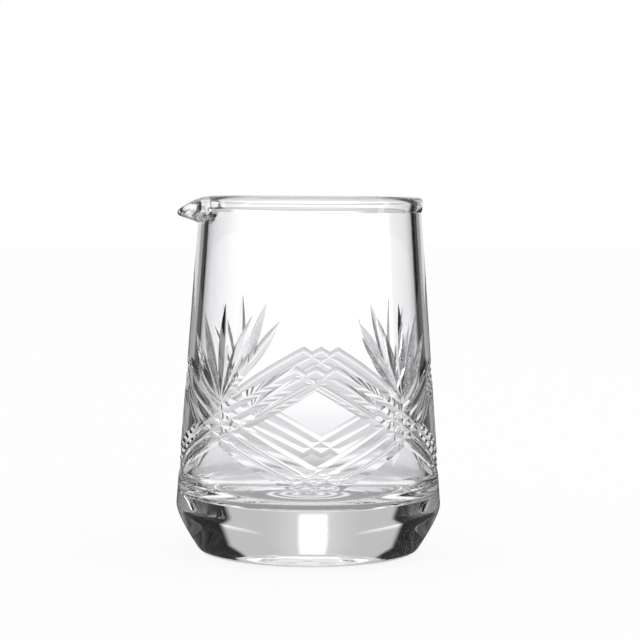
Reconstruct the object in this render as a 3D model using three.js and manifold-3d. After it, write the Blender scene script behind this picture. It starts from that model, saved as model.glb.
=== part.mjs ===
// Cocktail mixing glass: a heavy base, a tapered wall with a cut pattern, a rounded rim and a pulled lip.
// Millimetres, +Z up. The origin is the centre of the standing ring, the lip points to -X and the
// middle of one cut diamond faces -Y.
import * as THREE from "three";
import { mergeVertices } from "three/addons/utils/BufferGeometryUtils.js";
import Module from "manifold-3d";

const wasm = await Module();
wasm.setup();

// Outside of the body
const HEIGHT = 130; // table to the top of the rim
const SHOULDER_RADIUS = 48.5; // widest point, where the wall runs into the base
const SHOULDER_HEIGHT = 18;
const NECK_RADIUS = 40.6; // outside of the wall just under the rim

// Base
const FOOT_RADIUS = 37.6; // outer edge of the ring that the glass stands on
const FLANK_RADIUS = 41; // where the rounded foot edge ends and the curved flank begins
const FLANK_HEIGHT = 2;
const FLANK_SLOPE = 0.65; // outward run for each millimetre of rise, at the bottom of the flank
const PUNT_RADIUS = 35.5; // domed hollow under the base, which leaves that ring
const PUNT_DEPTH = 9.4;
const FLOOR_HEIGHT = 19.3; // table to the inside floor
const FLOOR_ROUND = 10; // radius of the inside corner between floor and wall
const BASE_HEIGHT = 25.5; // where the base ends and the wall stands on it

// Wall
const WALL_AT_SHOULDER = 4.6;
const WALL_AT_NECK = 3.7;

// Rim
const RIM_HEIGHT = 4.4;
const RIM_SWELL = 0.6; // how far the bead stands out past the neck
const RIM_THICKNESS = 4.1;

// Pouring lip
const LIP_PROJECTION = 7.4; // how far the nose stands out past the rim
const LIP_HALF_WIDTH = 17;
const LIP_DEPTH = 12; // top of the rim down to where the lip leaves the wall
const LIP_DROP = 4.6; // how far the nose lies below the rim
const LIP_NOSE = 2.2; // glass at the nose
const LIP_TURN_START = 3; // height above the lip's foot where the outside starts to turn out
const LIP_TURN_RISE = 5.6; // height that the turn takes
const LIP_TROUGH_DELAY = 1.1; // how much higher the inside turns, which leaves the trough its floor
const LIP_DROP_POWER = 1.4; // keeps the edge level near the rim before it falls to the nose

// Cut lattice: zigzag mitre grooves that cross into diamonds
const DIAMONDS = 4;
const LATTICE_TOP = 71.7; // highest cut edge
const LATTICE_BOTTOM = 27.5; // lowest cut edge
const GROOVES_PER_BAND = 3;
const GROOVE_PITCH = 9; // between neighbouring grooves, along the girth at the middle of the lattice
const GROOVE_WIDTH = 8.5; // opening of one groove, along the girth
const GROOVE_CLOSING = 0.19; // share of the pitch that is lost towards the points of the diamonds
const GROOVE_DEPTH = 1.2;
const PATTERN_TURN = THREE.MathUtils.degToRad(-1.35);
const PATTERN_UNEVENNESS = THREE.MathUtils.degToRad(4.65); // a hand cutter's spacing, closer on one side

// Cut fans: mitred leaves that spread upwards from each crossing of the bands
const FAN_FOOT = 58; // height of the point that the leaves spread from
const FAN_LEAVES = 5;
const FAN_SPREAD = THREE.MathUtils.degToRad(37); // lean of the outermost leaves
const FAN_OPENING = 0.85; // below 1, the leaves stand closer together towards the sides of the fan
const LEAF_LENGTH = 36.2; // middle leaf
const LEAF_SHORTENING = 5.3; // how much shorter the outermost leaves are
const LEAF_WIDTH = 5;
const LEAF_DEPTH = 1.3;

// Steps that round shapes are divided into
const GIRTH_STEPS = 48;
const CURVE_STEPS = 4;
const LIP_STEPS = 20;
const LEAF_STEPS = 6;
const CUTTER_PROUD = 0.6; // how far the cutting shapes stand out past the glass

const GLASS = { color: 0xe9edef, roughness: 0.04, metalness: 0, transparent: true, opacity: 0.45 };

// Heights and radii that follow from the sizes
const neckHeight = HEIGHT - RIM_HEIGHT;
const rimRadius = NECK_RADIUS + RIM_SWELL;
const lipFoot = HEIGHT - LIP_DEPTH;
const taper = (SHOULDER_RADIUS - NECK_RADIUS) / (neckHeight - SHOULDER_HEIGHT);
const thinning = (WALL_AT_SHOULDER - WALL_AT_NECK) / (neckHeight - SHOULDER_HEIGHT);
const outerRadius = (z) => SHOULDER_RADIUS - taper * (z - SHOULDER_HEIGHT);
const innerRadius = (z) => outerRadius(z) - WALL_AT_SHOULDER + thinning * (z - SHOULDER_HEIGHT);

// The inside corner is an arc that touches the floor and the tapered inside of the wall
const innerLean = Math.atan(taper - thinning);
const cornerHeight = FLOOR_HEIGHT + FLOOR_ROUND;
const cornerRadius = innerRadius(cornerHeight) - FLOOR_ROUND / Math.cos(innerLean);
const seamAngle = Math.asin((BASE_HEIGHT - cornerHeight) / FLOOR_ROUND);

// Corner point of a curve that leaves p along dp and arrives at q along dq
function tangentCorner(p, dp, q, dq) {
  const along = (q.clone().sub(p).cross(dq)) / dp.cross(dq);
  return p.clone().addScaledVector(dp, along);
}

function lathe(points) {
  return new THREE.LatheGeometry(points, GIRTH_STEPS).rotateX(Math.PI / 2);
}

// Triangles across a flat section: a ladder from its first and last points up to its middle
function capTriangles(count) {
  const triangles = [];
  for (let first = 0, last = count - 1; last - first > 1; first++, last--) {
    triangles.push([first, last - 1, last]);
    if (last - first > 2) {
      triangles.push([first, first + 1, last - 1]);
    }
  }
  return triangles;
}

// Skin over a row of sections with equally many points; a row that isn't a loop gets a flat cap at each end
function loft(sections, loop) {
  const count = sections[0].length;
  const rows = sections.length;
  const corners = [];
  for (let i = 0; i < (loop ? rows : rows - 1); i++) {
    for (let k = 0; k < count; k++) {
      const a = i * count + k;
      const b = i * count + ((k + 1) % count);
      const c = ((i + 1) % rows) * count + k;
      const d = ((i + 1) % rows) * count + ((k + 1) % count);
      corners.push(a, d, b, a, c, d);
    }
  }
  const end = (rows - 1) * count;
  for (const [a, b, c] of loop ? [] : capTriangles(count)) {
    corners.push(a, b, c, end + c, end + b, end + a);
  }
  const geometry = new THREE.BufferGeometry().setFromPoints(sections.flat());
  geometry.setIndex(corners);
  return geometry;
}

function solidOf(geometry) {
  const bare = geometry.clone();
  bare.deleteAttribute("normal");
  bare.deleteAttribute("uv");
  const merged = mergeVertices(bare);
  const vertProperties = merged.getAttribute("position").array;
  const triVerts = new Uint32Array(merged.getIndex().array);
  return new wasm.Manifold(new wasm.Mesh({ numProp: 3, vertProperties, triVerts }));
}

function geometryOf(solid) {
  const mesh = solid.getMesh();
  const geometry = new THREE.BufferGeometry();
  geometry.setAttribute("position", new THREE.BufferAttribute(mesh.vertProperties, mesh.numProp));
  geometry.setIndex(new THREE.BufferAttribute(mesh.triVerts, 1));
  geometry.computeVertexNormals();
  return geometry;
}

function join(geometries) {
  return geometries.map(solidOf).reduce((all, one) => all.add(one));
}

// Heavy base: standing ring, domed punt, curved flank, shoulder, and the inside floor with half of its corner
function heavyBase() {
  const flankStart = new THREE.Vector2(FLANK_RADIUS, FLANK_HEIGHT);
  const flankUp = new THREE.Vector2(FLANK_SLOPE, 1);
  const shoulder = new THREE.Vector2(SHOULDER_RADIUS, SHOULDER_HEIGHT);
  const wallUp = new THREE.Vector2(-taper, 1);
  const footCorner = tangentCorner(flankStart, flankUp, new THREE.Vector2(), new THREE.Vector2(1, 0));
  const shoulderCorner = tangentCorner(flankStart, flankUp, shoulder, wallUp);
  const path = new THREE.Path();
  path.moveTo(0, PUNT_DEPTH);
  path.quadraticCurveTo(PUNT_RADIUS / 2, PUNT_DEPTH, PUNT_RADIUS, 0);
  path.lineTo(FOOT_RADIUS, 0);
  path.quadraticCurveTo(footCorner.x, footCorner.y, flankStart.x, flankStart.y);
  path.quadraticCurveTo(shoulderCorner.x, shoulderCorner.y, shoulder.x, shoulder.y);
  path.lineTo(outerRadius(BASE_HEIGHT), BASE_HEIGHT);
  path.absarc(cornerRadius, cornerHeight, FLOOR_ROUND, seamAngle, -Math.PI / 2, true);
  path.lineTo(0, FLOOR_HEIGHT);
  return lathe(path.getPoints(CURVE_STEPS));
}

// Tapered wall from the base to the rim, before it is cut
function plainWall() {
  const path = new THREE.Path();
  path.moveTo(outerRadius(BASE_HEIGHT), BASE_HEIGHT);
  path.lineTo(NECK_RADIUS, neckHeight);
  path.lineTo(innerRadius(neckHeight), neckHeight);
  path.absarc(cornerRadius, cornerHeight, FLOOR_ROUND, innerLean, seamAngle, true);
  path.closePath();
  return lathe(path.getPoints(CURVE_STEPS));
}

// Outline of the bead, from the outside of the neck over the top to the inside of the neck
function beadOutline() {
  const beadHeight = HEIGHT - RIM_THICKNESS / 2;
  const path = new THREE.Path();
  path.moveTo(NECK_RADIUS, neckHeight);
  path.quadraticCurveTo(rimRadius, (neckHeight + beadHeight) / 2, rimRadius, beadHeight);
  path.absarc(rimRadius - RIM_THICKNESS / 2, beadHeight, RIM_THICKNESS / 2, 0, Math.PI, false);
  const inside = innerRadius(neckHeight);
  path.quadraticCurveTo(inside, (neckHeight + beadHeight) / 2, inside, neckHeight);
  return path.getPoints(CURVE_STEPS);
}

function plainRim() {
  const outline = beadOutline();
  return lathe([...outline, outline[0]]);
}

// The gap in wall and rim that the lip fills
function lipGap() {
  const reach = SHOULDER_RADIUS + LIP_PROJECTION;
  const top = HEIGHT + LIP_DEPTH;
  const box = new THREE.BoxGeometry(reach, 2 * LIP_HALF_WIDTH, top - lipFoot);
  return box.translate(-reach / 2, 0, (top + lipFoot) / 2);
}

// A point of the round wall or rim, moved out and down to where the lip was pulled
function lipPoint(r, z, y) {
  const pull = Math.cos((Math.PI / 2) * (y / LIP_HALF_WIDTH)) ** 2;
  const across = THREE.MathUtils.clamp((r - innerRadius(z)) / (outerRadius(z) - innerRadius(z)), 0, 1);
  const troughReach = LIP_PROJECTION + RIM_THICKNESS - LIP_NOSE;
  const reach = THREE.MathUtils.lerp(troughReach, LIP_PROJECTION, across);
  const turnStart = LIP_TURN_START + LIP_TROUGH_DELAY * (1 - across);
  const turn = THREE.MathUtils.smoothstep(z - lipFoot, turnStart, turnStart + LIP_TURN_RISE);
  const drop = LIP_DROP * pull ** LIP_DROP_POWER * ((z - lipFoot) / LIP_DEPTH);
  return new THREE.Vector3(-Math.sqrt(r * r - y * y) - reach * pull * turn, y, z - drop);
}

function pouringLip() {
  const outline = beadOutline();
  for (let i = 1; i <= LIP_STEPS / 2; i++) {
    const z = THREE.MathUtils.lerp(neckHeight, lipFoot, i / (LIP_STEPS / 2));
    outline.push(new THREE.Vector2(innerRadius(z), z));
    outline.unshift(new THREE.Vector2(outerRadius(z), z));
  }
  const sections = [];
  for (let i = 0; i <= LIP_STEPS; i++) {
    const y = THREE.MathUtils.lerp(LIP_HALF_WIDTH, -LIP_HALF_WIDTH, i / LIP_STEPS);
    sections.push(outline.map((p) => lipPoint(p.x, p.y, y)));
  }
  return loft(sections, false);
}

// The lattice: each groove runs round the glass in a zigzag, with a V section
const latticeMiddle = (LATTICE_TOP + LATTICE_BOTTOM) / 2;
const diamondAngle = (2 * Math.PI) / DIAMONDS;
const zigzagRun = (outerRadius(latticeMiddle) * diamondAngle) / 2;
const zigzagRise = (LATTICE_TOP - LATTICE_BOTTOM) / 2 / (1 + GROOVE_WIDTH / 2 / zigzagRun);
const grooveHalfHeight = ((GROOVE_WIDTH / 2) * zigzagRise) / zigzagRun;
const frontAngle = -Math.PI / 2;

// Where the cutter put what an even division of the wall has at this angle
const setOut = (angle) => angle + PATTERN_TURN - PATTERN_UNEVENNESS * Math.sin(angle);

function zigzagGroove(shift, upsideDown) {
  const open = 1 + CUTTER_PROUD / GROOVE_DEPTH;
  const sections = [];
  for (let i = 0; i < GIRTH_STEPS; i++) {
    const turn = (i / GIRTH_STEPS) * 2 * Math.PI;
    const phase = (turn / diamondAngle) % 2;
    const wave = Math.abs(2 * phase - 2) - 1;
    const z = latticeMiddle + (upsideDown ? -wave : wave) * zigzagRise;
    const angle = setOut(frontAngle + turn + shift * (1 - GROOVE_CLOSING * wave * wave));
    const at = (radius, height) =>
      new THREE.Vector3(radius * Math.cos(angle), radius * Math.sin(angle), height);
    const above = z + open * grooveHalfHeight;
    const below = z - open * grooveHalfHeight;
    sections.push([
      at(outerRadius(z) - GROOVE_DEPTH, z),
      at(outerRadius(below) + CUTTER_PROUD, below),
      at(outerRadius(above) + CUTTER_PROUD, above),
    ]);
  }
  return loft(sections, true);
}

function lattice() {
  const grooves = [];
  for (let i = 0; i < GROOVES_PER_BAND; i++) {
    const offset = i - (GROOVES_PER_BAND - 1) / 2;
    const shift = (offset * GROOVE_PITCH) / outerRadius(latticeMiddle);
    grooves.push(zigzagGroove(shift, false), zigzagGroove(shift, true));
  }
  return grooves;
}

// One leaf of a fan: a mitre cut that swells and comes out of the glass again at both ends
function fanLeaf(fanAngle, lean) {
  const length = LEAF_LENGTH - LEAF_SHORTENING * (lean / FAN_SPREAD) ** 2;
  const spread = LEAF_WIDTH / 2 / LEAF_DEPTH;
  const clear = CUTTER_PROUD / 4;
  const sections = [];
  for (let i = 0; i <= LEAF_STEPS; i++) {
    const along = (length * i) / LEAF_STEPS;
    const z = FAN_FOOT + along * Math.cos(lean);
    const radius = outerRadius(z);
    const angle = setOut(fanAngle + (along * Math.sin(lean)) / radius);
    const out = new THREE.Vector3(Math.cos(angle), Math.sin(angle), 0);
    const side = new THREE.Vector3(-out.y * Math.cos(lean), out.x * Math.cos(lean), -Math.sin(lean));
    const depth = (LEAF_DEPTH + clear) * Math.sin((Math.PI * i) / LEAF_STEPS) - clear;
    const halfWidth = (depth + CUTTER_PROUD) * spread;
    const at = (outwards, sideways) =>
      new THREE.Vector3(0, 0, z).addScaledVector(out, radius + outwards).addScaledVector(side, sideways);
    sections.push([at(-depth, 0), at(CUTTER_PROUD, halfWidth), at(CUTTER_PROUD, -halfWidth)]);
  }
  return loft(sections, false);
}

function fans() {
  const leaves = [];
  for (let fan = 0; fan < DIAMONDS; fan++) {
    const fanAngle = frontAngle + (fan + 0.5) * diamondAngle;
    for (let i = 0; i < FAN_LEAVES; i++) {
      const side = (2 * i) / (FAN_LEAVES - 1) - 1;
      const lean = FAN_SPREAD * Math.sign(side) * Math.abs(side) ** FAN_OPENING;
      leaves.push(fanLeaf(fanAngle, lean));
    }
  }
  return leaves;
}

function bowlWall() {
  const cuts = join([...lattice(), ...fans(), lipGap()]);
  return geometryOf(solidOf(plainWall()).subtract(cuts));
}

function rimBead() {
  return geometryOf(solidOf(plainRim()).subtract(solidOf(lipGap())));
}

const mixingGlass = new THREE.Group();

function addPart(name, geometry) {
  const mesh = new THREE.Mesh(geometry, new THREE.MeshStandardMaterial(GLASS));
  mesh.name = name;
  mixingGlass.add(mesh);
}

addPart("heavy_base", heavyBase());
addPart("bowl_wall", bowlWall());
addPart("rim_bead", rimBead());
addPart("pouring_lip", pouringLip());

export default mixingGlass;
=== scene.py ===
"""Cocktail mixing glass: one skin of clear glass with a heavy base, a cut wall, a round rim and a lip."""

import math

import bmesh
import bpy
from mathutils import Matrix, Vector


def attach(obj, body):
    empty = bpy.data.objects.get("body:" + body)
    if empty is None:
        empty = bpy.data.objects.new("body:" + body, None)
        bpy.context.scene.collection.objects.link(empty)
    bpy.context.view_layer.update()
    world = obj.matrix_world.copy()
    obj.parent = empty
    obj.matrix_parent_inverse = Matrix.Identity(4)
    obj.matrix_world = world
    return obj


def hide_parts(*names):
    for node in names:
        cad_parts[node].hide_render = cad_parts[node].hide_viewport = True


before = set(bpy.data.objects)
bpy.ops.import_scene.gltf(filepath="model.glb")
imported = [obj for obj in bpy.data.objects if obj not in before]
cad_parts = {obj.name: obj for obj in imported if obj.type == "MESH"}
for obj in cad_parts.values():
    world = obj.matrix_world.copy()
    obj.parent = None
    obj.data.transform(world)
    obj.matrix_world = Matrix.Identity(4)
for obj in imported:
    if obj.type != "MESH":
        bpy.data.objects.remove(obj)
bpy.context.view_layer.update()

# Sizes of the glass, in millimetres, as the solids have them
MM = 0.001
HEIGHT = 130.0
SHOULDER_RADIUS = 48.5
SHOULDER_HEIGHT = 18.0
NECK_RADIUS = 40.6
FOOT_RADIUS = 37.6
FLANK_RADIUS = 41.0
FLANK_HEIGHT = 2.0
FLANK_SLOPE = 0.65
PUNT_RADIUS = 35.5  # the punt is the hollow under the base
PUNT_DEPTH = 9.4
FLOOR_HEIGHT = 19.3
FLOOR_ROUND = 10.0
WALL_AT_SHOULDER = 4.6
WALL_AT_NECK = 3.7
RIM_HEIGHT = 4.4
RIM_SWELL = 0.6
RIM_RUNOUT = 1.1  # how far the rim's swelling runs on below the rim, which the solids leave out
RIM_THICKNESS = 4.1

# Pouring lip
LIP_PROJECTION = 7.4
LIP_HALF_WIDTH = 17.0
LIP_DEPTH = 12.0
LIP_DROP = 4.6
LIP_NOSE = 2.2
LIP_TURN_START = 3.0
LIP_TURN_RISE = 5.6
LIP_TROUGH_DELAY = 1.1
LIP_DROP_POWER = 1.4

# Cut pattern, a little shallower than in the solids so that the facets take the light as real ones do
DIAMONDS = 4
LATTICE_TOP = 71.7
LATTICE_BOTTOM = 27.5
GROOVES_PER_BAND = 3
GROOVE_PITCH = 9.0
GROOVE_WIDTH = 8.5
GROOVE_CLOSING = 0.19
GROOVE_DEPTH = 0.8
PATTERN_TURN = math.radians(-1.35)
PATTERN_UNEVENNESS = math.radians(4.65)  # the cutter's eye set the diamonds a little closer on one side
FAN_FOOT = 58.0
FAN_LEAVES = 5
FAN_SPREAD = math.radians(37.0)
FAN_OPENING = 0.85
LEAF_LENGTH = 36.2
LEAF_SHORTENING = 5.3
LEAF_WIDTH = 5.0
LEAF_DEPTH = 1.1
LEAF_CLEARANCE = 0.15  # how far a leaf's cutter stands off the wall at its two ends
CUTTER_PROUD = 0.6
VALLEY_ROUND = 0.1  # share of a cut's depth that is rounded off at its bottom

# Low rings that pressing leaves in the inside floor and in the punt
RIPPLE_LENGTH = 5.6
RIPPLE_REACH = 30.0
RIPPLE_FADE = 8.0
FLOOR_RIPPLE = 0.03
PUNT_RIPPLE = 0.03

# Mesh steps and tolerances
GIRTH_STEPS = 360
CURVE_STEPS = 14
PUNT_STEPS = 44
WALL_STEP = 4.0
LIP_STEP = 0.6
FLOOR_STEP = 1.2
LEAF_STEPS = 18
SHARP_ANGLE = math.radians(18)
SAME_POINT = 0.001
ON_WALL = 0.02

# Glass
GLASS_IOR = 1.52
GLASS_TINT = (0.985, 0.978, 0.99, 1.0)
POLISH_DETAIL = 3.0
SWELL_SCALE = 38.0
SWELL_DETAIL = 1.0

neck_height = HEIGHT - RIM_HEIGHT
rim_radius = NECK_RADIUS + RIM_SWELL
lip_foot = HEIGHT - LIP_DEPTH
taper = (SHOULDER_RADIUS - NECK_RADIUS) / (neck_height - SHOULDER_HEIGHT)
thinning = (WALL_AT_SHOULDER - WALL_AT_NECK) / (neck_height - SHOULDER_HEIGHT)
lattice_middle = (LATTICE_TOP + LATTICE_BOTTOM) / 2
diamond_angle = 2 * math.pi / DIAMONDS
front_angle = -math.pi / 2


def outer_radius(z):
    return SHOULDER_RADIUS - taper * (z - SHOULDER_HEIGHT)


def inner_radius(z):
    return outer_radius(z) - WALL_AT_SHOULDER + thinning * (z - SHOULDER_HEIGHT)


def smooth_step(value, start, end):
    t = min(max((value - start) / (end - start), 0.0), 1.0)
    return t * t * (3.0 - 2.0 * t)


# Outline of the glass, as radius and height

def bend(start, corner, end, steps=CURVE_STEPS):
    """Points of a curve that leaves start towards corner and arrives at end from it."""
    points = []
    for i in range(steps + 1):
        t = i / steps
        points.append(start * (1 - t) ** 2 + corner * 2 * t * (1 - t) + end * t * t)
    return points


def arc(centre, radius, start, end, steps=CURVE_STEPS):
    points = []
    for i in range(steps + 1):
        angle = start + (end - start) * i / steps
        points.append(centre + radius * Vector((math.cos(angle), math.sin(angle))))
    return points


def straight(start, end, step):
    steps = max(1, math.ceil((end - start).length / step))
    return [start.lerp(end, i / steps) for i in range(steps + 1)]


def tangent_corner(p, dp, q, dq):
    """Where a line through p along dp meets a line through q along dq."""
    along = ((q.x - p.x) * dq.y - (q.y - p.y) * dq.x) / (dp.x * dq.y - dp.y * dq.x)
    return p + dp * along


def rippled(points, height):
    """The same outline with low rings round the axis that fade out before its corner."""
    moved = []
    for point in points:
        fade = 1.0 - smooth_step(point.x, RIPPLE_REACH - RIPPLE_FADE, RIPPLE_REACH)
        wave = math.cos(2 * math.pi * point.x / RIPPLE_LENGTH)
        moved.append(Vector((point.x, point.y + height * fade * wave)))
    return moved


def without_repeats(points):
    kept = [points[0]]
    for point in points[1:]:
        if (point - kept[-1]).length > SAME_POINT:
            kept.append(point)
    return kept


def base_outline():
    """From the middle of the punt out over the foot and up the flank to the shoulder."""
    flank_start = Vector((FLANK_RADIUS, FLANK_HEIGHT))
    flank_up = Vector((FLANK_SLOPE, 1))
    shoulder = Vector((SHOULDER_RADIUS, SHOULDER_HEIGHT))
    foot_edge = Vector((FOOT_RADIUS, 0))
    foot_corner = tangent_corner(flank_start, flank_up, foot_edge, Vector((1, 0)))
    shoulder_corner = tangent_corner(flank_start, flank_up, shoulder, Vector((-taper, 1)))
    punt_top = Vector((0, PUNT_DEPTH))
    punt_edge = Vector((PUNT_RADIUS, 0))
    punt = bend(punt_top, Vector((PUNT_RADIUS / 2, PUNT_DEPTH)), punt_edge, PUNT_STEPS)
    points = rippled(punt, PUNT_RIPPLE)
    points += straight(punt_edge, foot_edge, WALL_STEP)
    points += bend(foot_edge, foot_corner, flank_start)
    points += bend(flank_start, shoulder_corner, shoulder)
    return points


def wall_and_rim_outline(shoulder):
    """Up the outside from the shoulder, over the rim and down the inside to the lip's foot."""
    swell_foot = neck_height - RIM_RUNOUT
    bead_height = HEIGHT - RIM_THICKNESS / 2
    swell_height = (swell_foot + bead_height) / 2
    outside_foot = Vector((outer_radius(lip_foot), lip_foot))
    inside_foot = Vector((inner_radius(lip_foot), lip_foot))
    neck = Vector((outer_radius(swell_foot), swell_foot))
    inner_neck = Vector((inner_radius(swell_foot), swell_foot))
    bead = Vector((rim_radius - RIM_THICKNESS / 2, bead_height))
    bead_outside = Vector((rim_radius, bead_height))
    swell_steps = CURVE_STEPS // 2
    points = straight(shoulder, outside_foot, WALL_STEP)
    points += straight(outside_foot, neck, LIP_STEP)
    points += bend(neck, Vector((rim_radius, swell_height)), bead_outside, swell_steps)
    points += arc(bead, RIM_THICKNESS / 2, 0, math.pi, 2 * CURVE_STEPS)
    points += bend(points[-1], Vector((inner_neck.x, swell_height)), inner_neck, swell_steps)
    points += straight(inner_neck, inside_foot, LIP_STEP)
    return points


def inside_outline(inside_foot):
    """Down the inside from the lip's foot, round the corner and along the floor to its middle."""
    lean = math.atan(taper - thinning)
    corner_height = FLOOR_HEIGHT + FLOOR_ROUND
    corner = Vector((inner_radius(corner_height) - FLOOR_ROUND / math.cos(lean), corner_height))
    corner_top = corner + FLOOR_ROUND * Vector((math.cos(lean), math.sin(lean)))
    points = straight(inside_foot, corner_top, WALL_STEP)
    points += arc(corner, FLOOR_ROUND, lean, -math.pi / 2)
    points += rippled(straight(points[-1], Vector((0, FLOOR_HEIGHT)), FLOOR_STEP), FLOOR_RIPPLE)
    return points


def glass_outline():
    points = base_outline()
    points += wall_and_rim_outline(points[-1])
    points += inside_outline(points[-1])
    return without_repeats(points)


def pull_lip(co):
    """Moves a point of the round glass out and down to where the lip was pulled from it."""
    x, y, z = (v / MM for v in co)
    if x > 0 or abs(y) >= LIP_HALF_WIDTH or z <= lip_foot:
        return co
    radius = math.hypot(x, y)
    pull = math.cos(math.pi / 2 * y / LIP_HALF_WIDTH) ** 2
    across = (radius - inner_radius(z)) / (outer_radius(z) - inner_radius(z))
    across = min(max(across, 0.0), 1.0)
    trough_reach = LIP_PROJECTION + RIM_THICKNESS - LIP_NOSE
    reach = trough_reach + (LIP_PROJECTION - trough_reach) * across
    turn_start = LIP_TURN_START + LIP_TROUGH_DELAY * (1 - across)
    turn = smooth_step(z - lip_foot, turn_start, turn_start + LIP_TURN_RISE)
    drop = LIP_DROP * pull ** LIP_DROP_POWER * (z - lip_foot) / LIP_DEPTH
    return Vector((x - reach * pull * turn, y, z - drop)) * MM


def spun(section, closed):
    """A bmesh made by turning an outline of radius and height once round the glass's axis."""
    bm = bmesh.new()
    verts = [bm.verts.new((p.x * MM, 0, p.y * MM)) for p in section]
    edges = [bm.edges.new(pair) for pair in zip(verts, verts[1:])]
    if closed:
        edges.append(bm.edges.new((verts[-1], verts[0])))
    bmesh.ops.spin(bm, geom=verts + edges, cent=(0, 0, 0), axis=(0, 0, 1), angle=2 * math.pi,
                   steps=GIRTH_STEPS, use_merge=True)
    bmesh.ops.remove_doubles(bm, verts=bm.verts[:], dist=SAME_POINT * MM)
    bmesh.ops.recalc_face_normals(bm, faces=bm.faces[:])
    return bm


def new_piece(name, bm, material):
    mesh = bpy.data.meshes.new(name)
    bm.to_mesh(mesh)
    bm.free()
    mesh.materials.append(material)
    piece = bpy.data.objects.new(name, mesh)
    bpy.context.scene.collection.objects.link(piece)
    return piece


def gathered(parts):
    """One bmesh with several that don't touch each other."""
    whole = bmesh.new()
    for part in parts:
        mesh = bpy.data.meshes.new("part")
        part.to_mesh(mesh)
        part.free()
        whole.from_mesh(mesh)
        bpy.data.meshes.remove(mesh)
    return whole


# Cutting shapes: mitre grooves and leaves

def set_out(angle):
    """Where the cutter really put what an even division of the wall has at this angle."""
    return angle + PATTERN_TURN - PATTERN_UNEVENNESS * math.sin(angle)


def mitre_section(depth, spread):
    """Outward and sideways places of a V section, rounded a little in its valley."""
    rounded = VALLEY_ROUND * max(depth, 0)
    half_width = (depth + CUTTER_PROUD) * spread
    return [
        (rounded / 2 - depth, 0),
        (rounded - depth, -rounded * spread),
        (CUTTER_PROUD, -half_width),
        (CUTTER_PROUD, half_width),
        (rounded - depth, rounded * spread),
    ]


def zigzag_groove(shift, upside_down):
    """A V groove that runs once round the wall, up and down from diamond to diamond."""
    run = outer_radius(lattice_middle) * diamond_angle / 2
    rise = (LATTICE_TOP - LATTICE_BOTTOM) / 2 / (1 + GROOVE_WIDTH / 2 / run)
    half_height = GROOVE_WIDTH / 2 * rise / run
    section = []
    for outwards, up in mitre_section(GROOVE_DEPTH, half_height / GROOVE_DEPTH):
        z = lattice_middle + up
        section.append(Vector((outer_radius(z) + outwards, z)))
    bm = spun(section, True)
    sign = -1 if upside_down else 1
    for vert in bm.verts:
        turn = math.atan2(vert.co.y, vert.co.x)
        wave = abs(2 * (turn / diamond_angle % 2) - 2) - 1  # straight up and down between -1 and 1
        climb = sign * wave * rise
        radius = math.hypot(vert.co.x, vert.co.y) - taper * climb * MM
        angle = set_out(front_angle + turn + shift * (1 - GROOVE_CLOSING * wave * wave))
        vert.co = (radius * math.cos(angle), radius * math.sin(angle), vert.co.z + climb * MM)
    return bm


def fan_leaf(fan_angle, lean):
    """A V cut that swells along its length and comes out of the glass at both ends."""
    length = LEAF_LENGTH - LEAF_SHORTENING * (lean / FAN_SPREAD) ** 2
    spread = LEAF_WIDTH / 2 / LEAF_DEPTH
    corner_count = len(mitre_section(LEAF_DEPTH, spread))

    def wrap(co):
        """Carries a point of a straight bar with this cut's section onto the leaf's place on the wall."""
        share = co.y / LEAF_STEPS
        along = length * share
        z = FAN_FOOT + along * math.cos(lean)
        radius = outer_radius(z)
        angle = set_out(fan_angle + along * math.sin(lean) / radius)
        out = Vector((math.cos(angle), math.sin(angle), 0))
        side = Vector((-out.y * math.cos(lean), out.x * math.cos(lean), -math.sin(lean)))
        depth = (LEAF_DEPTH + LEAF_CLEARANCE) * math.sin(math.pi * share) - LEAF_CLEARANCE
        outwards, sideways = mitre_section(depth, spread)[round(co.x)]
        return (out * (radius + outwards) + side * sideways + Vector((0, 0, z))) * MM

    bm = bmesh.new()
    corners = [bm.verts.new((i, 0, (i - corner_count // 2) ** 2)) for i in range(corner_count)]
    bm.faces.new(corners)
    for i in range(LEAF_STEPS):
        end = [face for face in bm.faces if all(vert.co.y == i for vert in face.verts)]
        grown = bmesh.ops.extrude_face_region(bm, geom=end)["geom"]
        if i:
            bmesh.ops.delete(bm, geom=end, context="FACES_ONLY")
        moved = [item for item in grown if isinstance(item, bmesh.types.BMVert)]
        bmesh.ops.translate(bm, verts=moved, vec=(0, 1, 0))
    for vert in bm.verts:
        vert.co = wrap(vert.co)
    bmesh.ops.recalc_face_normals(bm, faces=bm.faces[:])
    return bm


# Node graphs

class Wire:
    """A node's output that takes part in sums with other outputs and with plain numbers."""

    def __init__(self, tree, socket):
        self.tree = tree
        self.socket = socket

    def maths(self, operation, first, second):
        return add_node(self.tree, "ShaderNodeMath", {"operation": operation}, {0: first, 1: second})

    def __add__(self, other):
        return self.maths("ADD", self, other)

    def __radd__(self, other):
        return self.maths("ADD", other, self)

    def __sub__(self, other):
        return self.maths("SUBTRACT", self, other)

    def __rsub__(self, other):
        return self.maths("SUBTRACT", other, self)

    def __mul__(self, other):
        return self.maths("MULTIPLY", self, other)

    def __rmul__(self, other):
        return self.maths("MULTIPLY", other, self)

    def smaller(self, other):
        return self.maths("MINIMUM", self, other)

    def larger(self, other):
        return self.maths("MAXIMUM", self, other)


def add_node(tree, kind, settings=None, inputs=None, output=0):
    """Adds one node, sets it up, joins its inputs and hands back one of its outputs, or those in a tuple."""
    node = tree.nodes.new(kind)
    for name, value in (settings or {}).items():
        setattr(node, name, value)
    for name, value in (inputs or {}).items():
        if isinstance(value, Wire):
            tree.links.new(value.socket, node.inputs[name])
        else:
            node.inputs[name].default_value = value
    if isinstance(output, tuple):
        return [Wire(tree, node.outputs[name]) for name in output]
    return Wire(tree, node.outputs[output]) if len(node.outputs) else None


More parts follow.
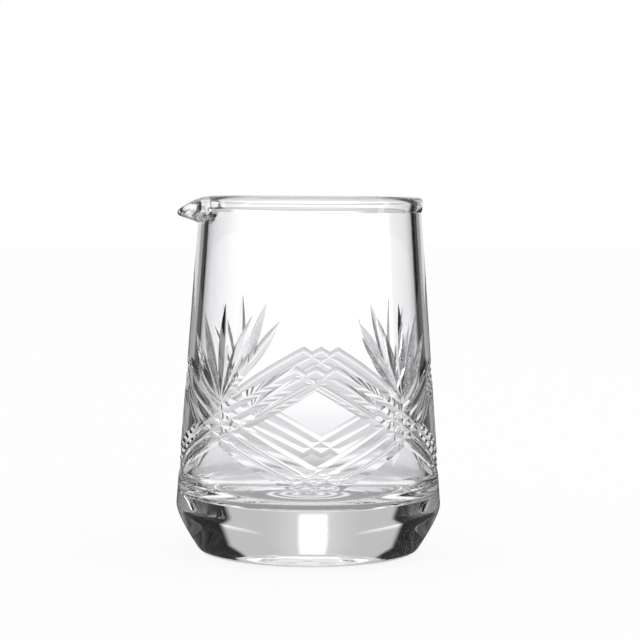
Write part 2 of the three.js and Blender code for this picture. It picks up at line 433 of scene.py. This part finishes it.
def new_material(name):
    material = bpy.data.materials.new(name)
    material.use_nodes = True
    material.node_tree.nodes.clear()
    return material, material.node_tree


def soft_step(tree, value, start, end, low, high):
    inputs = {"Value": value, "From Min": start, "From Max": end, "To Min": low, "To Max": high}
    return add_node(tree, "ShaderNodeMapRange", {"interpolation_type": "SMOOTHSTEP"}, inputs)


def rising(tree, value, start, end):
    """Goes softly from 0 to 1 while the value goes from start to end."""
    return soft_step(tree, value, start, end, 0.0, 1.0)


def falling(tree, value, start, end):
    """Goes softly from 1 to 0 while the value goes from start to end."""
    return soft_step(tree, value, start, end, 1.0, 0.0)


def blended(first, second, share):
    """The first level where the share is 0 and the second where it is 1."""
    return first * (1 - share) + second * share


def clear_glass(name, roughness_change, grain, waviness):
    """Colourless glass whose polish and surface vary a little from place to place."""
    material, tree = new_material(name)
    place = add_node(tree, "ShaderNodeTexCoord", output="Object")
    polish_noise = {"Vector": place, "Scale": grain, "Detail": POLISH_DETAIL}
    swell_noise = {"Vector": place, "Scale": SWELL_SCALE, "Detail": SWELL_DETAIL}
    cloud = add_node(tree, "ShaderNodeTexNoise", None, polish_noise)
    swell = add_node(tree, "ShaderNodeTexNoise", None, swell_noise)
    normal = add_node(tree, "ShaderNodeBump", None, {"Height": swell, "Strength": 1.0, "Distance": waviness})
    surface = add_node(tree, "ShaderNodeBsdfPrincipled", None, {
        "Base Color": GLASS_TINT,
        "Roughness": cloud * roughness_change,
        "IOR": GLASS_IOR,
        "Transmission Weight": 1.0,
        "Normal": normal,
    })
    add_node(tree, "ShaderNodeOutputMaterial", None, {"Surface": surface})
    return material


# The glass itself

def pattern_cutters():
    """The cutting shapes in groups, none of which touches another of its own group."""
    middle = (GROOVES_PER_BAND - 1) / 2
    groups = []
    for i in range(GROOVES_PER_BAND):
        shift = (i - middle) * GROOVE_PITCH / outer_radius(lattice_middle)
        groups.append([zigzag_groove(shift, False)])
        groups.append([zigzag_groove(shift, True)])
    for i in range(FAN_LEAVES):
        side = 2 * i / (FAN_LEAVES - 1) - 1
        lean = FAN_SPREAD * math.copysign(abs(side) ** FAN_OPENING, side)
        groups.append([fan_leaf(front_angle + (k + 0.5) * diamond_angle, lean) for k in range(DIAMONDS)])
    return groups


def cut_mixing_glass():
    pressed_glass = clear_glass("clear_pressed_glass", roughness_change=0.012, grain=260.0, waviness=0.00002)
    cut_glass = clear_glass("polished_cut_glass", roughness_change=0.03, grain=900.0, waviness=0.00001)
    bm = spun(glass_outline(), False)
    for vert in bm.verts:
        vert.co = pull_lip(vert.co)
    glass = new_piece("cut_mixing_glass", bm, pressed_glass)
    cutters = [new_piece("cutter", gathered(group), cut_glass) for group in pattern_cutters()]
    for cutter in cutters:
        cut = glass.modifiers.new("cut", "BOOLEAN")
        cut.operation = "DIFFERENCE"
        cut.solver = "MANIFOLD"
        cut.object = cutter
    cut_away = glass.evaluated_get(bpy.context.evaluated_depsgraph_get())
    finished = bpy.data.meshes.new_from_object(cut_away)
    glass.modifiers.clear()
    glass.data = finished
    for cutter in cutters:
        bpy.data.meshes.remove(cutter.data)
    return glass


def on_plain_wall(co):
    if co.z < SHOULDER_HEIGHT or co.z > lip_foot:
        return False
    return abs(math.hypot(co.x, co.y) - outer_radius(co.z)) < ON_WALL


def polish(mesh):
    """Smooth shading that stays crisp at the cuts and follows the true round of the wall between them."""
    mesh.shade_smooth()
    mesh.set_sharp_from_angle(angle=SHARP_ANGLE)
    slope = math.atan(taper)
    normals = [(0.0, 0.0, 0.0)] * len(mesh.loops)
    for face in mesh.polygons:
        if face.material_index:  # a cut face, which keeps its own normals
            continue
        corners = [mesh.vertices[i].co / MM for i in face.vertices]
        if all(on_plain_wall(co) for co in corners):
            for loop, co in zip(face.loop_indices, corners):
                out = Vector((co.x, co.y, 0)).normalized() * math.cos(slope)
                normals[loop] = (out.x, out.y, math.sin(slope))
    mesh.normals_split_custom_set(normals)


glass = cut_mixing_glass()
polish(glass.data)
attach(glass, "root")
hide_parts("heavy_base", "bowl_wall", "rim_bead", "pouring_lip")

# Stage, in metres: a pale floor under a white surround, plain to the camera and painted with light and shade
# where the glass shows it
# A pair is where a soft step starts and ends: a distance, an angle from behind or a direction's height
MATT_WHITE = (0.9, 0.9, 0.9, 1.0)
FLOOR_REACH = 4.0
FLOOR_SIDES = 64
FLOOR_GAP = 0.0003
GLOW_SHARE = 0.88  # of the floor that the camera sees; the rest takes the glass's shadow
# the floor is painted almost dark where the glass mirrors it: a painted reflection level
MIRROR_LEVEL = 0.08  # of the floor as the glass mirrors it

# Painted light of a sweep behind the glass, darker near it and brighter far off, with a painted shadow of
# the glass on it
NEAR_LEVEL = 0.66
FAR_LEVEL = 1.06
FAR_GLOW = 0.16
GLOW_WIDTH = (math.radians(4), math.radians(10))
SWEEP = (0.1, 0.7)
REAR_SHADOW = 0.2
REAR_START = (0.062, 0.075)
REAR_END = (0.11, 0.16)

# Painted light and shade under the foot, with painted bright rings standing in for those that the base
# throws there
FOOT_GLOW = 0.4
FOOT_GLOW_END = (0.054, 0.068)
FOOT_SHADOW = 0.78
SHADOW_END = (0.036, 0.046)
RING_PITCH = 0.0057
RING_LIGHT = 0.9
RING_REACH = (0.017, 0.021)

# Painted shade and light for light that was turned back inside the glass before it left
LOOP_SHADE = 0.6
LOOP_START = (0.15, 0.19)
LOOP_LOW = (0.0, 0.03)
LOOP_LEVEL = 0.88
LOOP_RISE = (0.15, 0.3)

# Backdrop with its lamp, and the room
BACKDROP_LEVEL = 0.57
BACKDROP_FADE = (0.03, 0.08)
HOT_LEVEL = 0.6
HOT_TURN = math.radians(-1.7)
HOT_WIDTH = (math.radians(3), math.radians(5))
HOT_BOTTOM = (0.09, 0.112)
HOT_TOP = (0.3, 0.42)
HALO_LEVEL = 0.16
HALO_WIDTH = (0.0, math.radians(15))
ROOM_LEVEL = 0.3
OVERHEAD_LEVEL = 0.8

# Dark cards on either side of the backdrop
CARD_LEVEL = 0.005
CARD_START = (math.radians(29), math.radians(33))
CARD_END = (math.radians(60), math.radians(75))
CARD_MIDDLE = math.radians(-2)
CARD_LEAN = math.radians(12)  # how much nearer to the middle they come with height
CARD_TOP = (0.55, 0.75)
CARD_SHADE = 0.75
CARD_DISTANCE = (0.62, 0.85)
CARD_LOOP_DISTANCE = (0.12, 0.15)  # how near they come for light turned back inside the glass

# Lamp and camera
STRIP_WIDTH = 0.16
STRIP_LENGTH = 0.8
STRIP_ENERGY = 1.2
STRIP_PLACE = Vector((1.0, -0.14, 0.4))
STRIP_AIM = Vector((0.0, 0.0, 0.1))
SENSOR_WIDTH = 36.0
LENS = 122.6
CAMERA_PLACE = (0.0035, -0.798, 0.135)
CAMERA_TILT = math.radians(86.4)
CAMERA_ROLL = math.radians(-0.4)
LIGHT_BOUNCES = 32
MIRROR_BOUNCES = 16


def ray_kinds(tree):
    """Rays from the camera, off a mirroring face and out of the glass, and those turned back inside it."""
    kinds = ("Is Camera Ray", "Is Glossy Ray", "Is Transmission Ray", "Glossy Depth")
    seen, mirrored, bent, turns = add_node(tree, "ShaderNodeLightPath", output=kinds)
    return seen, mirrored, bent, turns.smaller(1.0)


def from_behind(tree, x, y, middle=0.0):
    """How far a direction turns from straight behind the glass, or from a middle near it, to either side."""
    turn = x.maths("ARCTAN2", x, y) - middle
    return add_node(tree, "ShaderNodeMath", {"operation": "ABSOLUTE"}, {0: turn})


def far_level(tree, x, y):
    """The far end of the sweep, a little brighter straight behind the glass."""
    return FAR_LEVEL + FAR_GLOW * falling(tree, from_behind(tree, x, y), *GLOW_WIDTH)


def dark_cards(tree, turn):
    """One where a dark card stands on either side of the bright backdrop."""
    return rising(tree, turn, *CARD_START) * falling(tree, turn, *CARD_END)


def lit_sweep(tree, looped):
    """How bright the floor is to the glass, as painted light: painted shade round its foot, and ending at
    the cards.
    """
    place = add_node(tree, "ShaderNodeTexCoord", output="Object")
    away = add_node(tree, "ShaderNodeVectorMath", {"operation": "LENGTH"}, {0: place}, "Value")
    x, y = add_node(tree, "ShaderNodeSeparateXYZ", None, {0: place}, ("X", "Y"))
    # painted light: the floor darker near the glass and brighter far off
    level = blended(NEAR_LEVEL, far_level(tree, x, y), rising(tree, away, *SWEEP))
    # painted shadow of the glass on the floor behind it
    rear = rising(tree, away, *REAR_START) * falling(tree, away, *REAR_END)
    level = level * (1 - REAR_SHADOW * rear)
    # painted pool of light under the foot
    level = level + FOOT_GLOW * falling(tree, away, *FOOT_GLOW_END)
    # painted shadow under the foot, broken by painted bright rings
    wave = add_node(tree, "ShaderNodeMath", {"operation": "COSINE"}, {0: away * (2 * math.pi / RING_PITCH)})
    rings = (0.5 + 0.5 * wave) * falling(tree, away, *RING_REACH)
    level = level * (1 - FOOT_SHADOW * falling(tree, away, *SHADOW_END) * (1 - RING_LIGHT * rings))
    # painted shade on the floor for light turned back inside the glass
    level = level * (1 - LOOP_SHADE * looped * rising(tree, away, *LOOP_START))
    shade = looped * rising(tree, away, *CARD_LOOP_DISTANCE)
    shade = shade.larger(CARD_SHADE * rising(tree, away, *CARD_DISTANCE)) * (1 - CARD_LEVEL)
    card = dark_cards(tree, from_behind(tree, x, y, CARD_MIDDLE))
    return level * (1 - card * shade)


def pale_floor():
    """White all over to the camera, with the glass's shadow; to the glass a sweep of painted light and
    shade.
    """
    material, tree = new_material("pale_floor")
    seen, mirrored, bent, looped = ray_kinds(tree)
    # to the glass the floor shows painted light and shade, and where the glass mirrors it a painted dark
    # level
    level = seen + mirrored * MIRROR_LEVEL + bent * lit_sweep(tree, looped)
    matt = add_node(tree, "ShaderNodeBsdfDiffuse", None, {"Color": MATT_WHITE})
    glow = add_node(tree, "ShaderNodeEmission", None, {"Color": level, "Strength": 1.0})
    share = seen * GLOW_SHARE + mirrored.larger(bent)
    surface = add_node(tree, "ShaderNodeMixShader", None, {0: share, 1: matt, 2: glow})
    add_node(tree, "ShaderNodeOutputMaterial", None, {"Surface": surface})
    material.cycles.emission_sampling = "NONE"  # its glow is only for the rays that come to it by themselves
    bm = bmesh.new()
    bmesh.ops.create_circle(bm, cap_ends=True, segments=FLOOR_SIDES, radius=FLOOR_REACH)
    bmesh.ops.translate(bm, verts=bm.verts[:], vec=(0, 0, -FLOOR_GAP))
    floor = new_piece("floor", bm, material)


def studio_surround():
    """White to the camera; to the glass a bright backdrop, dark cards beside it and grey in front."""
    world = bpy.data.worlds.new("studio")
    bpy.context.scene.world = world
    world.use_nodes = True
    tree = world.node_tree
    tree.nodes.clear()
    direction = add_node(tree, "ShaderNodeTexCoord", output="Generated")
    x, y, z = add_node(tree, "ShaderNodeSeparateXYZ", None, {0: direction}, ("X", "Y", "Z"))
    above = rising(tree, z, *BACKDROP_FADE)
    aside = rising(tree, from_behind(tree, x, y), *CARD_END)
    level = blended(far_level(tree, x, y), BACKDROP_LEVEL, above)
    level = blended(level, ROOM_LEVEL, aside)

    lamp_turn = from_behind(tree, x, y, HOT_TURN)
    halo = falling(tree, lamp_turn, *HALO_WIDTH) * above
    hot = falling(tree, lamp_turn, *HOT_WIDTH) * rising(tree, z, *HOT_BOTTOM) * falling(tree, z, *HOT_TOP)
    level = level + HALO_LEVEL * halo + HOT_LEVEL * hot

    _, mirrored, bent, looped = ray_kinds(tree)
    looped = looped * bent
    # painted shade near the horizon and painted light higher up, for light turned back inside the glass
    level = level * (1 - LOOP_SHADE * looped * falling(tree, z, *LOOP_LOW))
    level = blended(level, LOOP_LEVEL, looped * (1 - aside) * rising(tree, z, *LOOP_RISE))

    card = dark_cards(tree, from_behind(tree, x, y, CARD_MIDDLE) + z.larger(0.0) * CARD_LEAN)
    level = blended(level, CARD_LEVEL, card)
    level = blended(level, OVERHEAD_LEVEL, rising(tree, z, *CARD_TOP))
    level = blended(1.0, level, mirrored.larger(bent))
    light = add_node(tree, "ShaderNodeBackground", None, {"Color": level, "Strength": 1.0})
    add_node(tree, "ShaderNodeOutputWorld", None, {"Surface": light})


def strip_light():
    lamp = bpy.data.lights.new("strip_light", "AREA")
    lamp.shape = "RECTANGLE"
    lamp.size = STRIP_WIDTH
    lamp.size_y = STRIP_LENGTH
    lamp.energy = STRIP_ENERGY
    strip = bpy.data.objects.new("strip_light", lamp)
    strip.location = STRIP_PLACE
    strip.rotation_euler = (STRIP_AIM - STRIP_PLACE).to_track_quat("-Z", "Y").to_euler()
    bpy.context.scene.collection.objects.link(strip)


def studio_camera():
    camera = bpy.data.objects.new("camera", bpy.data.cameras.new("camera"))
    camera.data.sensor_width = SENSOR_WIDTH
    camera.data.lens = LENS
    camera.location = CAMERA_PLACE
    camera.rotation_euler = (CAMERA_TILT, CAMERA_ROLL, 0.0)
    bpy.context.scene.collection.objects.link(camera)
    bpy.context.scene.camera = camera


pale_floor()
studio_surround()
strip_light()
studio_camera()
scene = bpy.context.scene
scene.view_settings.view_transform = "Standard"
scene.cycles.max_bounces = LIGHT_BOUNCES
scene.cycles.transmission_bounces = LIGHT_BOUNCES
scene.cycles.glossy_bounces = MIRROR_BOUNCES
